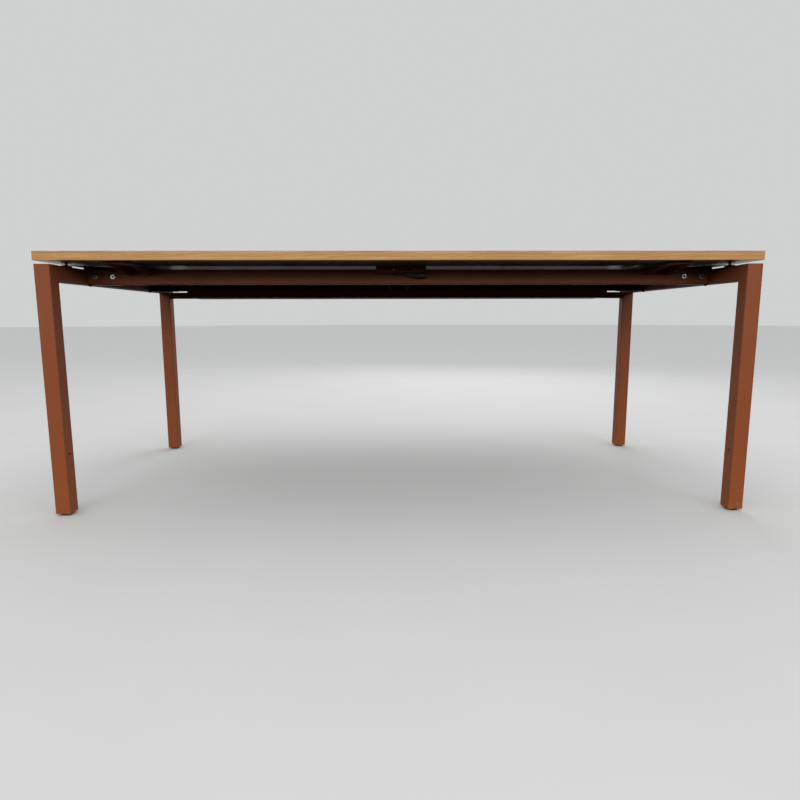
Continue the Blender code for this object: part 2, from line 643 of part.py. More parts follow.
def rail(end):
    """Channel with its flanges cut back at both ends, round lower corners and its holes."""
    bm = shape(prism, channel(end), "X", -RAIL_END, RAIL_END)
    cut_back = bmesh.new()
    corners = bmesh.new()
    depth = (end * (RAIL_FACE - RAIL_SHEET - SEAT / 2), end * (RAIL_TIP - PAST))
    centre = (RAIL_END - RAIL_CORNER, RAIL_BOTTOM + RAIL_CORNER)
    arc = [math.radians(270 + 22.5 * step) for step in range(5)]
    corner = [(centre[0] + RAIL_CORNER * math.cos(a), centre[1] + RAIL_CORNER * math.sin(a)) for a in arc]
    corner += [(RAIL_END + PAST, centre[1]), (RAIL_END + PAST, RAIL_BOTTOM - PAST),
               (centre[0], RAIL_BOTTOM - PAST)]
    for side in (LEFT, RIGHT):
        length = (side * (RAIL_END + PAST), side * (TUBE_INNER - BRACKET_LENGTH - BRACKET_PLAY))
        block(cut_back, length, depth, (RAIL_BOTTOM - PAST, RAIL_BOTTOM + RAIL_SHEET + SEAT))
        block(cut_back, length, depth, (FRAME_TOP - RAIL_SHEET - SEAT, FRAME_TOP + PAST))
        prism(corners, [(side * x, z) for x, z in corner], "Y", end * (RAIL_TIP - PAST),
              end * (RAIL_FACE + PAST))
    holes = bmesh.new()
    across = (end * (RAIL_FACE - RAIL_SHEET - PAST), end * (RAIL_FACE + PAST))
    for x in RAIL_BOLT_X:
        rod(holes, "Y", (x, RAIL_MIDDLE), BOLT / 2 + SEAT, *across)
    if end == REAR:
        for x in (-STUD_X, STUD_X):
            rod(holes, "Y", (x, STUD_Z), STUD / 2 + SEAT, *across)
    return cut(bm, cut_back, corners, holes)


for end in (FRONT, REAR):
    piece(f"rail_{END_NAMES[end]}", rail(end), COPPER_COAT, FRAME)


# Corner brackets: bolted inside the rail's ends through two welded nuts, hooked over the cross tube,
# and held there by a tongue inside the tube and a lock screw from below. A slant-cut gusset stands out
# from each one into the corner between rail and tube

def bracket(side, end):
    outer = TUBE_INNER - SEAT
    inner = TUBE_INNER - BRACKET_LENGTH
    hook = TUBE_INNER + HOOK_REACH
    face = RAIL_FACE - RAIL_SHEET - SEAT
    back = face - BRACKET_PLATE
    bottom = RAIL_BOTTOM - BRACKET_DROP
    saddle = FRAME_TOP + SEAT
    top = FRAME_TOP + HOOK_RISE
    outline = [(inner, bottom), (outer, bottom), (outer, saddle), (hook, saddle), (hook, top - HOOK_CORNER),
               (hook - HOOK_CORNER, top), (inner, top)]
    bm = shape(prism, [(side * x, z) for x, z in outline], "Y", end * face, end * RAIL_TIP)
    pocket = shape(block, (side * (outer - BRACKET_PLATE), side * (inner - PAST)),
                   (end * back, end * (RAIL_TIP - PAST)), (bottom + BRACKET_PLATE, top - BRACKET_PLATE))
    tongue = shape(block, (side * (outer - BRACKET_PLATE / 2), side * (TUBE_INNER + TONGUE_REACH)),
                   (end * LOCK_Y - TONGUE_WIDTH / 2, end * LOCK_Y + TONGUE_WIDTH / 2),
                   (TONGUE_BOTTOM, TONGUE_BOTTOM + TONGUE_SHEET))
    slant = TUBE_INNER - GUSSET_ALONG
    root = face - BRACKET_PLATE / 2
    corner = [(outer, root), (outer, RAIL_FACE + GUSSET_ACROSS), (slant, RAIL_FACE), (slant, root)]
    gusset = shape(prism, [(side * x, end * y) for x, y in corner], "Z", top - SEAT - GUSSET_SHEET, top - SEAT)
    nuts = bmesh.new()
    holes = bmesh.new()
    for x in BOLT_PLACES.values():
        rod(nuts, "Y", (side * x, RAIL_MIDDLE), NUT / math.sqrt(3), end * (back + BRACKET_PLATE / 2),
            end * (back - NUT_HEIGHT), sides=6)
        rod(holes, "Y", (side * x, RAIL_MIDDLE), BOLT / 2 + SEAT, end * (back - NUT_HEIGHT - PAST),
            end * (face + PAST))
    rod(holes, "Z", (side * LOCK_X, end * LOCK_Y), LOCK_SHANK / 2 + SEAT, TONGUE_BOTTOM - PAST,
        TONGUE_BOTTOM + TONGUE_SHEET + PAST)
    return cut(join(cut(bm, pocket), nuts, tongue, gusset), holes)


def lock_screw(side, end):
    """A screw with a round head, up through the cross tube's lower wall into the tongue."""
    seat = FRAME_TOP - CROSS_HEIGHT - SEAT
    profile = [(0.0, seat - LOCK_HEAD_HEIGHT), (LOCK_HEAD * 0.25, seat - LOCK_HEAD_HEIGHT * 0.93),
               (LOCK_HEAD * 0.43, seat - LOCK_HEAD_HEIGHT * 0.6),
               (LOCK_HEAD / 2, seat - LOCK_HEAD_HEIGHT * 0.2),
               (LOCK_HEAD / 2, seat), (LOCK_SHANK / 2, seat), (LOCK_SHANK / 2, seat + LOCK_LENGTH),
               (0.0, seat + LOCK_LENGTH)]
    return shape(turned, "Z", (side * LOCK_X, end * LOCK_Y), profile)


for side, end in CORNERS:
    corner = f"{END_NAMES[end]}_{SIDE_NAMES[side]}"
    piece(f"rail_bracket_{corner}", bracket(side, end), BLACK_STEEL, FRAME)
    piece(f"lock_screw_{corner}", lock_screw(side, end), BLACK_STEEL, FRAME)


# Flat-headed socket bolts through the rails into the brackets, two at each rail end

def rail_bolt(x, end):
    seat = RAIL_FACE + SEAT
    top = seat + BOLT_HEAD_HEIGHT
    profile = [(0.0, top), (BOLT_FACE / 2, top), (BOLT_HEAD / 2, seat + BOLT_RIM), (BOLT_HEAD / 2, seat),
               (BOLT / 2, seat), (BOLT / 2, seat - BOLT_LENGTH), (0.0, seat - BOLT_LENGTH)]
    bolt = shape(turned, "Y", (x, RAIL_MIDDLE), [(radius, end * run) for radius, run in profile])
    socket = shape(rod, "Y", (x, RAIL_MIDDLE), SOCKET / math.sqrt(3), end * (top - SOCKET_DEPTH),
                   end * (top + PAST), sides=6)
    return cut(bolt, socket)


for side, end in CORNERS:
    for spot, x in BOLT_PLACES.items():
        name = f"rail_bolt_{END_NAMES[end]}_{SIDE_NAMES[side]}_{spot}"
        piece(name, rail_bolt(side * x, end), ZINC, FRAME)


# Support arms: tapered steel channels, open below, hooked over the front rail, each with a plastic strip

def support_arm(side):
    root = FRAME_TOP - ARM_ROOT_DROP
    tip = ARM_TOP - ARM_TIP_HEIGHT
    saddle = FRAME_TOP + SEAT
    outline = [(-RAIL_FACE - SEAT, root), (-ARM_TIP, tip), (-ARM_TIP, ARM_TOP), (-RAIL_TIP, ARM_TOP),
               (-RAIL_TIP, saddle), (-RAIL_FACE - SEAT, saddle)]
    half = ARM_WIDTH / 2
    x = side * ARM_X
    bm = shape(prism, outline, "X", x - half, x + half)
    corners = [edge for edge in bm.edges if all(vert.co.y < SEAT - ARM_TIP for vert in edge.verts)
               and abs(edge.verts[0].co.x - edge.verts[1].co.x) < SEAT]
    bmesh.ops.bevel(bm, geom=corners, offset=ARM_CORNER, offset_type="OFFSET", segments=3, profile=0.5,
                    affect="EDGES", material=-1)
    inside = half - ARM_SHEET
    hollow = shape(block, (x - inside, x + inside), (PAST - RAIL_TIP, ARM_SHEET - ARM_TIP),
                   (root - PAST, ARM_TOP - ARM_SHEET))
    return cut(bm, hollow)


for side in (LEFT, RIGHT):
    piece(f"support_arm_{SIDE_NAMES[side]}", support_arm(side), COPPER_COAT, FRAME)
    glide = shape(block, (side * ARM_X - GLIDE_WIDTH / 2, side * ARM_X + GLIDE_WIDTH / 2),
                  (-RAIL_TIP, ARM_CORNER - ARM_TIP), (ARM_TOP + SEAT, UNDERSIDE - SEAT))
    piece(f"arm_glide_{SIDE_NAMES[side]}", glide, BLACK_PLASTIC, FRAME)


# Cable tray: hung on the rear rail by two welded studs, with a strap from each end to the leg beside it

def tray():
    section = [(TRAY_FRONT, TRAY_FLOOR + TRAY_WALL), (TRAY_FRONT, TRAY_FLOOR), (TRAY_REAR, TRAY_FLOOR),
               (TRAY_REAR, TRAY_FLOOR + TRAY_WALL), (TRAY_REAR - TRAY_SHEET, TRAY_FLOOR + TRAY_WALL),
               (TRAY_REAR - TRAY_SHEET, TRAY_FLOOR + TRAY_SHEET),
               (TRAY_FRONT + TRAY_SHEET, TRAY_FLOOR + TRAY_SHEET),
               (TRAY_FRONT + TRAY_SHEET, TRAY_FLOOR + TRAY_WALL)]
    bm = shape(prism, section, "X", -TRAY_END, TRAY_END)
    slots = bmesh.new()
    middle = (TRAY_FRONT + TRAY_REAR) / 2
    for number in range(TIE_SLOTS):
        x = (number - (TIE_SLOTS - 1) / 2) * 2 * TRAY_END / TIE_SLOTS
        outline = rounded(TIE_SLOT_LENGTH, TIE_SLOT_WIDTH, TIE_SLOT_WIDTH / 2 - SEAT, x, middle, steps=4)
        prism(slots, outline, "Z", TRAY_FLOOR - PAST, TRAY_FLOOR + TRAY_SHEET + PAST)
    studs = bmesh.new()
    for x in (-STUD_X, STUD_X):
        rod(studs, "Y", (x, STUD_Z), STUD / 2, TRAY_FRONT + TRAY_SHEET / 2, TRAY_FRONT - STUD_LENGTH)
    return join(cut(bm, slots), studs)


def strap(side):
    """A flat bar behind the tray, with a foot bent back along the leg."""
    end_x = TUBE_INNER - SEAT
    back = STRAP_FRONT + STRAP_SHEET
    outline = [(TRAY_END - STRAP_LAP, STRAP_FRONT), (end_x, STRAP_FRONT), (end_x, back + STRAP_FOOT),
               (end_x - STRAP_SHEET, back + STRAP_FOOT), (end_x - STRAP_SHEET, back),
               (TRAY_END - STRAP_LAP, back)]
    return shape(prism, [(side * x, y) for x, y in outline], "Z", STRAP_BOTTOM, STRAP_BOTTOM + STRAP_HEIGHT)


piece("cable_tray", tray(), COPPER_COAT, FRAME)
for side in (LEFT, RIGHT):
    piece(f"tray_strap_{SIDE_NAMES[side]}", strap(side), COPPER_COAT, FRAME)
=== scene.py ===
import math

import bmesh
import bpy
from mathutils import Matrix, Vector


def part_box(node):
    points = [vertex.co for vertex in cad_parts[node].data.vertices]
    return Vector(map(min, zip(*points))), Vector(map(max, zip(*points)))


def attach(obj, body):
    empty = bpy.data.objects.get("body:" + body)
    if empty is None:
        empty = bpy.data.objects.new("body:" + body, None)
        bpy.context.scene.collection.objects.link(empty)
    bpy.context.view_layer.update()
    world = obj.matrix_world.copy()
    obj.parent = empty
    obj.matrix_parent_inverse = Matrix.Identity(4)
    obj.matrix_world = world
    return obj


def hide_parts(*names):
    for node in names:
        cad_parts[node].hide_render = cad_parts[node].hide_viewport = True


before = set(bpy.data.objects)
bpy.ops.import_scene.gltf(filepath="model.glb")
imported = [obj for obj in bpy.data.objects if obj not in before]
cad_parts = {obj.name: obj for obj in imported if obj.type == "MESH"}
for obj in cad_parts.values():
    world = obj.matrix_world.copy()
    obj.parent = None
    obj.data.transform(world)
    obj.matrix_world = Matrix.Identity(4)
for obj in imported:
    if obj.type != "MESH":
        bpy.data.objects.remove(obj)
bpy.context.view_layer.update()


# Stand for the desk: a wide pale floor and a plain pale backdrop under soft studio light. Long strips
# and a key light stand in front, a fill at the right, one behind, and two small cards low in front for
# the bolt heads. The floor throws no light back. The camera stands low and looks up under the top.

camera_place = Vector((-0.03443, -2.05072, 0.56620))
camera_yaw = math.radians(0.983)
camera_pitch = math.radians(8.241)
camera_roll = math.radians(-0.122)

forward = Vector((math.sin(camera_yaw) * math.cos(camera_pitch),
                  math.cos(camera_yaw) * math.cos(camera_pitch), -math.sin(camera_pitch)))
level = Vector((math.cos(camera_yaw), -math.sin(camera_yaw), 0.0))
upright = level.cross(forward)
camera_right = level * math.cos(camera_roll) + upright * math.sin(camera_roll)
camera_up = upright * math.cos(camera_roll) - level * math.sin(camera_roll)

camera_data = bpy.data.cameras.new("camera")
camera_data.sensor_fit = "HORIZONTAL"
camera_data.sensor_width = 36.0
camera_data.lens = 25.778
camera = bpy.data.objects.new("camera", camera_data)
camera.matrix_world = Matrix.Translation(camera_place) @ Matrix(
    (camera_right, camera_up, -forward)).transposed().to_4x4()
bpy.context.collection.objects.link(camera)
bpy.context.scene.camera = camera


def softbox(name, place, target, width, height, power, colour):
    """A large area light aimed at a point."""
    data = bpy.data.lights.new(name, "AREA")
    data.shape = "RECTANGLE"
    data.size = width
    data.size_y = height
    data.energy = power
    data.color = colour
    made = bpy.data.objects.new(name, data)
    aim = (Vector(target) - Vector(place)).to_track_quat("-Z", "Y")
    made.matrix_world = Matrix.Translation(place) @ aim.to_matrix().to_4x4()
    made.visible_camera = False
    bpy.context.collection.objects.link(made)


softbox("key_light", (-1.0, -3.6, 2.5), (0.0, 0.0, 2.5), 3.0, 1.4, 18.0, (1.0, 0.98, 0.95))
softbox("low_strip_light", (-0.4, -7.0, 1.70), (0.0, 0.0, 1.70), 12.9, 0.46, 48.0, (0.90, 0.97, 1.0))
softbox("high_strip_light", (-0.4, -7.0, 2.49), (0.0, 0.0, 2.49), 12.9, 1.13, 178.0, (1.0, 0.99, 0.97))
softbox("left_card", (-1.92, -3.6, 0.95), (-0.9, 0.0, 0.7), 0.8, 0.24, 2.6, (1.0, 1.0, 1.0))
softbox("right_card", (2.00, -3.6, 0.95), (0.9, 0.0, 0.7), 0.8, 0.24, 1.6, (1.0, 1.0, 1.0))
softbox("fill_light", (2.8, -3.0, 2.0), (0.0, 0.0, 2.0), 2.0, 2.0, 10.0, (0.95, 0.98, 1.0))
softbox("rear_light", (0.8, 3.4, 2.6), (0.0, 0.0, 0.4), 2.4, 1.8, 30.0, (1.0, 1.0, 1.0))


def node(tree, kind, inputs=None, **settings):
    """A shader node with its settings made and its sockets filled with values or links."""
    made = tree.nodes.new(kind)
    for name, value in settings.items():
        setattr(made, name, value)
    for key, value in (inputs or {}).items():
        if isinstance(value, bpy.types.NodeSocket):
            tree.links.new(value, made.inputs[key])
        else:
            made.inputs[key].default_value = value
    return made


def noise(tree, place, scale, detail=2.0, roughness=0.5):
    """Cloudy values from 0 to 1."""
    return node(tree, "ShaderNodeTexNoise", {"Vector": place, "Scale": scale, "Detail": detail,
                                             "Roughness": roughness}).outputs[0]


def spread(tree, value, low, high, to_low, to_high):
    """A value's range stretched to another range, and held inside it."""
    return node(tree, "ShaderNodeMapRange", {"Value": value, "From Min": low, "From Max": high,
                                             "To Min": to_low, "To Max": to_high}).outputs["Result"]


def mixed(tree, share, first, second, way="MIX"):
    """Two colours mixed by a share from 0 to 1."""
    made = node(tree, "ShaderNodeMix", {0: share, 6: first, 7: second}, data_type="RGBA", blend_type=way)
    return made.outputs[2]


def arithmetic(tree, way, first, second=0.0):
    """One step of arithmetic on values."""
    return node(tree, "ShaderNodeMath", {0: first, 1: second}, operation=way).outputs[0]


def bump(tree, height, strength, distance):
    """A surface normal roughened by a height."""
    return node(tree, "ShaderNodeBump", {"Height": height, "Strength": strength,
                                         "Distance": distance}).outputs["Normal"]


def new_finish(name):
    """A material, its node tree, its shader and its place on the piece in metres."""
    made = bpy.data.materials.new(name)
    made.use_nodes = True
    tree = made.node_tree
    place = node(tree, "ShaderNodeTexCoord").outputs["Object"]
    return made, tree, tree.nodes["Principled BSDF"], place


studio = bpy.data.worlds.new("studio")
studio.use_nodes = True
tree = studio.node_tree
heading = node(tree, "ShaderNodeSeparateXYZ",
               {"Vector": node(tree, "ShaderNodeTexCoord").outputs["Generated"]}).outputs
backdrop = (0.62, 0.64, 0.63, 1.0)
glow = mixed(tree, spread(tree, heading["Y"], -0.4, 0.7, 0.0, 1.0), (0.30, 0.31, 0.31, 1.0),
             (0.54, 0.55, 0.55, 1.0))
glow = mixed(tree, spread(tree, heading["Z"], 0.45, 0.85, 0.0, 1.0), glow, (0.90, 0.91, 0.92, 1.0))
front_shade = arithmetic(tree, "MULTIPLY", spread(tree, heading["Y"], -0.4, 0.0, 1.0, 0.0),
                         spread(tree, heading["Z"], 0.0, 0.24, 0.98, 0.0))
rear_shade = spread(tree, heading["Z"], -0.20, -0.04, 0.30, 0.0)
glow = mixed(tree, arithmetic(tree, "MAXIMUM", front_shade, rear_shade), glow, (0.0, 0.0, 0.0, 1.0))
ground_line = arithmetic(tree, "ADD", heading["Z"], spread(tree, heading["Y"], 0.1, 0.6, 0.0, 0.42))
glow = mixed(tree, spread(tree, ground_line, -0.06, -0.015, 0.0, 1.0), (0.014, 0.014, 0.014, 1.0), glow)
seen = node(tree, "ShaderNodeLightPath").outputs["Is Camera Ray"]
tree.links.new(mixed(tree, seen, glow, backdrop), tree.nodes["Background"].inputs["Color"])
bpy.context.scene.world = studio
bpy.context.scene.view_settings.view_transform = "Standard"

floor_finish, tree, shader, place = new_finish("pale_floor")
tree.links.new(mixed(tree, noise(tree, place, 3.0, 4.0), (0.74, 0.74, 0.73, 1.0), (0.78, 0.78, 0.77, 1.0)),
               shader.inputs["Base Color"])
shader.inputs["Roughness"].default_value = 0.9
floor_radius = 40.0
bm = bmesh.new()
bmesh.ops.create_circle(bm, cap_ends=True, segments=96, radius=floor_radius)
floor_mesh = bpy.data.meshes.new("floor")
bm.to_mesh(floor_mesh)
bm.free()
floor_mesh.materials.append(floor_finish)
floor = bpy.data.objects.new("floor", floor_mesh)
floor.visible_diffuse = False
floor.visible_glossy = False
bpy.context.collection.objects.link(floor)


# End frames: square steel tubes, two legs and a cross tube at each end, under a copper-brown
# powder coat with a fine orange-peel grain. The coat is painted lighter and warmer towards the floor as
# painted light, and it is scuffed and dusty at the foot of the legs.

def dress(names, finish):
    """Give CAD pieces their finish."""
    for name in names:
        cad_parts[name].material_slots[0].material = finish


def copper_coat(name, brown, deep):
    """Powder coat, painted lighter and warmer towards the floor as painted light, and scuffed and dusty at
    the foot.
    """
    made, tree, shader, place = new_finish(name)
    cloud = noise(tree, place, 4.0, 3.0)
    fleck = noise(tree, place, 420.0, 2.0)
    tone = mixed(tree, spread(tree, cloud, 0.35, 0.65, 0.0, 1.0), deep, brown)
    tone = mixed(tree, spread(tree, fleck, 0.35, 0.75, 0.0, 0.16), tone, (0.42, 0.145, 0.060, 1.0))
    height = node(tree, "ShaderNodeSeparateXYZ", {"Vector": place}).outputs["Z"]
    # Painted light: below 0.62 m the coat is painted lighter and warmer towards the floor.
    tone = mixed(tree, spread(tree, height, 0.03, 0.62, 0.5, 0.0), tone, (0.480, 0.124, 0.031, 1.0))
    low = spread(tree, height, 0.006, 0.11, 1.0, 0.0)
    scuff = spread(tree, noise(tree, place, 55.0, 5.0, 0.65), 0.54, 0.72, 0.0, 0.55)
    worn = arithmetic(tree, "MULTIPLY", low, scuff)
    tone = mixed(tree, worn, tone, (0.46, 0.25, 0.16, 1.0))
    tree.links.new(tone, shader.inputs["Base Color"])
    sheen = spread(tree, noise(tree, place, 38.0, 3.0), 0.3, 0.7, 0.50, 0.60)
    tree.links.new(arithmetic(tree, "ADD", sheen, worn), shader.inputs["Roughness"])
    tree.links.new(bump(tree, noise(tree, place, 950.0, 2.0), 0.35, 0.0002), shader.inputs["Normal"])
    shader.inputs["Specular IOR Level"].default_value = 0.35
    return made


frame_coat = copper_coat("copper_brown_coat", (0.345, 0.086, 0.023, 1.0), (0.305, 0.073, 0.019, 1.0))
corners = ["front_left", "front_right", "rear_left", "rear_right"]
sides = ["left", "right"]
dress([f"leg_{corner}" for corner in corners], frame_coat)
dress([f"cross_tube_{side}" for side in sides], frame_coat)


# Levelling feet, plugs and pads: black plastic with a fine spark-eroded grain. The plugs are pressed
# into the leg ends and the feet screw into them. The pads peg into the cross tubes, and the top
# slides on a button on each.

def moulded_plastic(name, black, grey, gloss, dull):
    """Black plastic with a grained face, greyer and duller in patches."""
    made, tree, shader, place = new_finish(name)
    handled = spread(tree, noise(tree, place, 26.0, 4.0, 0.6), 0.4, 0.7, 0.0, 1.0)
    tree.links.new(mixed(tree, handled, black, grey), shader.inputs["Base Color"])
    tree.links.new(spread(tree, handled, 0.0, 1.0, gloss, dull), shader.inputs["Roughness"])
    grain = node(tree, "ShaderNodeTexVoronoi", {"Vector": place, "Scale": 1500.0}).outputs["Distance"]
    tree.links.new(bump(tree, grain, 0.3, 0.0001), shader.inputs["Normal"])
    return made


black_plastic = moulded_plastic("black_plastic", (0.016, 0.016, 0.017, 1.0), (0.030, 0.030, 0.029, 1.0),
                                0.42, 0.58)
dress([f"foot_{corner}" for corner in corners], black_plastic)
dress([f"foot_insert_{corner}" for corner in corners], black_plastic)
dress([f"glide_pad_{corner}" for corner in corners], black_plastic)


# Rails: folded steel channels with the same coat. At each end two flat-headed socket bolts, zinc
# plated, go through the rail into nuts welded inside the corner bracket. The hex socket in each head is
# painted near black as painted shade.

dress(["rail_front", "rail_rear"], frame_coat)


def plated_steel(name, bright, dull, gloss=0.20, matt=0.28):
    """Metal with a faint cloudy bloom."""
    made, tree, shader, place = new_finish(name)
    bloom = noise(tree, place, 260.0, 4.0, 0.6)
    clouded = spread(tree, bloom, 0.35, 0.7, 0.0, 1.0)
    tree.links.new(mixed(tree, clouded, bright, dull), shader.inputs["Base Color"])
    tree.links.new(spread(tree, bloom, 0.3, 0.7, gloss, matt), shader.inputs["Roughness"])
    tree.links.new(bump(tree, noise(tree, place, 900.0, 2.0), 0.05, 0.0001), shader.inputs["Normal"])
    shader.inputs["Metallic"].default_value = 1.0
    return made, tree, shader, place


zinc = plated_steel("bright_zinc", (0.86, 0.87, 0.88, 1.0), (0.72, 0.74, 0.76, 1.0))[0]
bolt_zinc, tree, shader, place = plated_steel("bolt_zinc", (0.90, 0.91, 0.92, 1.0), (0.78, 0.80, 0.82, 1.0),
                                              0.30, 0.37)
bolt_spots = ["outer", "inner"]
socket_radius = 0.0036  # to the corners of the hexagon
shade_start = 0.0007  # how far below the head's face the dark begins
axes = node(tree, "ShaderNodeSeparateXYZ", {"Vector": place}).outputs
aside = arithmetic(tree, "ABSOLUTE", axes["X"])
gaps = []
for spot in bolt_spots:
    low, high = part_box(f"rail_bolt_front_right_{spot}")
    gaps.append(arithmetic(tree, "ABSOLUTE", arithmetic(tree, "SUBTRACT", aside, (low.x + high.x) / 2)))
off_axis = arithmetic(tree, "MINIMUM", gaps[0], gaps[1])
off_level = arithmetic(tree, "SUBTRACT", axes["Z"], (low.z + high.z) / 2)
off_centre = arithmetic(tree, "SQRT",
                        arithmetic(tree, "ADD", arithmetic(tree, "MULTIPLY", off_axis, off_axis),
                                   arithmetic(tree, "MULTIPLY", off_level, off_level)))
# Painted shade: inside the hex socket, from just below the head's face, the plating is painted near black.
sunk = arithmetic(tree, "LESS_THAN", arithmetic(tree, "ABSOLUTE", axes["Y"]), -low.y - shade_start)
socket_shade = arithmetic(tree, "MULTIPLY", sunk, arithmetic(tree, "LESS_THAN", off_centre, socket_radius))
plating = shader.inputs["Base Color"].links[0].from_socket
tree.links.new(mixed(tree, socket_shade, plating, (0.030, 0.028, 0.026, 1.0)), shader.inputs["Base Color"])
dress([f"rail_bolt_{corner}_{spot}" for corner in corners for spot in bolt_spots], bolt_zinc)


# Corner brackets: thick blackened steel in the rail ends, hooked over the cross tubes, with a gusset
# in the corner between rail and tube. A round-headed screw goes up through the tube's lower wall into
# the tongue of each bracket.

def blackened_steel(name, black, rubbed):
    """Dark steel, rubbed paler in small patches."""
    made, tree, shader, place = new_finish(name)
    patch = noise(tree, place, 340.0, 4.0, 0.6)
    bare = spread(tree, patch, 0.5, 0.8, 0.0, 1.0)
    tree.links.new(mixed(tree, bare, black, rubbed), shader.inputs["Base Color"])
    tree.links.new(spread(tree, patch, 0.3, 0.7, 0.38, 0.55), shader.inputs["Roughness"])
    shader.inputs["Metallic"].default_value = 0.6
    return made


black_steel = blackened_steel("blackened_steel", (0.018, 0.018, 0.020, 1.0), (0.060, 0.058, 0.055, 1.0))
dress([f"rail_bracket_{corner}" for corner in corners], black_steel)
dress([f"lock_screw_{corner}" for corner in corners], black_steel)


# Support arms: tapered channels of sheet steel, hooked over the front rail and held by two screws
# from inside it. A strip of slippery black plastic lies on each arm, under the top.

dress([f"support_arm_{side}" for side in sides], frame_coat)
dress([f"arm_glide_{side}" for side in sides], black_plastic)


def turned(bm, profile, spot, outward, steps, closed=False):
    """Spin a profile of (radius, height) about an axis that points outward from a spot."""
    others = set(bm.verts)
    line = [bm.verts.new((radius, 0.0, height)) for radius, height in profile]
    pairs = list(zip(line, line[1:]))
    if closed:
        pairs.append((line[-1], line[0]))
    drawn = [bm.edges.new(pair) for pair in pairs]
    bmesh.ops.spin(bm, geom=line + drawn, cent=(0.0, 0.0, 0.0), axis=(0.0, 0.0, 1.0), angle=math.tau,
                   steps=steps, use_merge=True)
    made = [vert for vert in bm.verts if vert not in others]
    aim = Vector(outward).to_track_quat("Z", "Y").to_matrix().to_4x4()
    bmesh.ops.transform(bm, matrix=Matrix.Translation(spot) @ aim, verts=made)
    bmesh.ops.remove_doubles(bm, verts=made, dist=1e-6)


def pan_head(bm, spot, outward, radius, height):
    """A round screw head with a drive recess."""
    recess = 0.42 * radius
    turned(bm, [(0.0, 0.45 * height), (0.6 * recess, 0.45 * height), (recess, 0.98 * height),
                (0.6 * radius, 0.96 * height), (0.86 * radius, 0.72 * height), (radius, 0.3 * height),
                (radius, 0.0), (0.0, 0.0)], spot, outward, 20)


def new_piece(name, bm, finish, body):
    """Make a piece from a finished mesh and let it ride on a body."""
    bmesh.ops.recalc_face_normals(bm, faces=bm.faces)
    mesh = bpy.data.meshes.new(name)
    bm.to_mesh(mesh)
    bm.free()
    mesh.shade_smooth()
    mesh.set_sharp_from_angle(angle=math.radians(38))
    mesh.materials.append(finish)
    made = bpy.data.objects.new(name, mesh)
    bpy.context.collection.objects.link(made)
    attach(made, body)
    return made


bm = bmesh.new()
rail_low, rail_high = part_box("rail_front")
rail_sheet = 0.0025
rail_middle = (rail_low.y + rail_high.y) / 2
arm_screw_offset = 0.015  # either side of the arm's middle
arm_screw_radius = 0.0052
arm_screw_height = 0.0033
down = (0.0, 0.0, -1.0)
for side in sides:
    arm_low, arm_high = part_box(f"support_arm_{side}")
    for offset in (-arm_screw_offset, arm_screw_offset):
        spot = ((arm_low.x + arm_high.x) / 2 + offset, rail_middle, rail_high.z - rail_sheet)
        pan_head(bm, spot, down, arm_screw_radius, arm_screw_height)
new_piece("arm_screws", bm, zinc, "frame")


# Cable tray: a long trough of thin coated sheet on the rear rail. Two studs welded to it go through
# the rail to nuts on washers, and a strap screwed to each end carries it to the rear leg.

dress(["cable_tray", "tray_strap_left", "tray_strap_right"], frame_coat)

bm = bmesh.new()
rail_low, rail_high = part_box("rail_rear")
stud_x = 0.035
stud_z = 0.681
washer = 0.0012
washer_hole = 0.0034
washer_radius = 0.0065
nut_hole = 0.0036
nut_height = 0.0050
washer_profile = [(washer_hole, 0.0), (washer_radius, 0.0), (washer_radius, washer), (washer_hole, washer)]
nut_profile = [(nut_hole, washer), (0.0056, washer), (0.0058, washer + 0.0008), (0.0058, washer + 0.0042),
               (0.0052, washer + nut_height), (nut_hole, washer + nut_height)]
web = rail_high.y - rail_sheet
forwards = (0.0, -1.0, 0.0)
for x in (-stud_x, stud_x):
    turned(bm, washer_profile, (x, web, stud_z), forwards, 24, closed=True)
    turned(bm, nut_profile, (x, web, stud_z), forwards, 6, closed=True)
new_piece("tray_nuts", bm, zinc, "frame")

bm = bmesh.new()
strap_sheet = 0.003
strap_screw_radius = 0.0042
strap_screw_height = 0.0026
foot_screw_inset = 0.009  # from the strap's rear edge
for side, sign in zip(sides, (-1.0, 1.0)):
    low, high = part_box(f"tray_strap_{side}")
    middle_z = (low.z + high.z) / 2
    free_end = low.x if sign > 0 else high.x
    foot = high.x if sign > 0 else low.x
    for inset in (0.012, 0.038):
        pan_head(bm, (free_end + sign * inset, low.y + strap_sheet, middle_z), (0.0, 1.0, 0.0),
                 strap_screw_radius, strap_screw_height)
    pan_head(bm, (foot - sign * strap_sheet, high.y - foot_screw_inset, middle_z), (-sign, 0.0, 0.0),
             strap_screw_radius, strap_screw_height)
new_piece("strap_screws", bm, black_steel, "frame")


# Top: a board faced with leaves of oak veneer, satin lacquered, with a dark grey sheet below.
# The leaves run along the desk and are laid side by side, each with its own crown of rings.

def point(tree, x, y):
    """A place in a flat pattern."""
    return node(tree, "ShaderNodeCombineXYZ", {0: x, 1: y}).outputs[0]


def stretched(tree, along, across, along_scale, across_scale):
    """A place in a pattern that is drawn out along the grain."""
    return point(tree, arithmetic(tree, "MULTIPLY", along, along_scale),
                 arithmetic(tree, "MULTIPLY", across, across_scale))


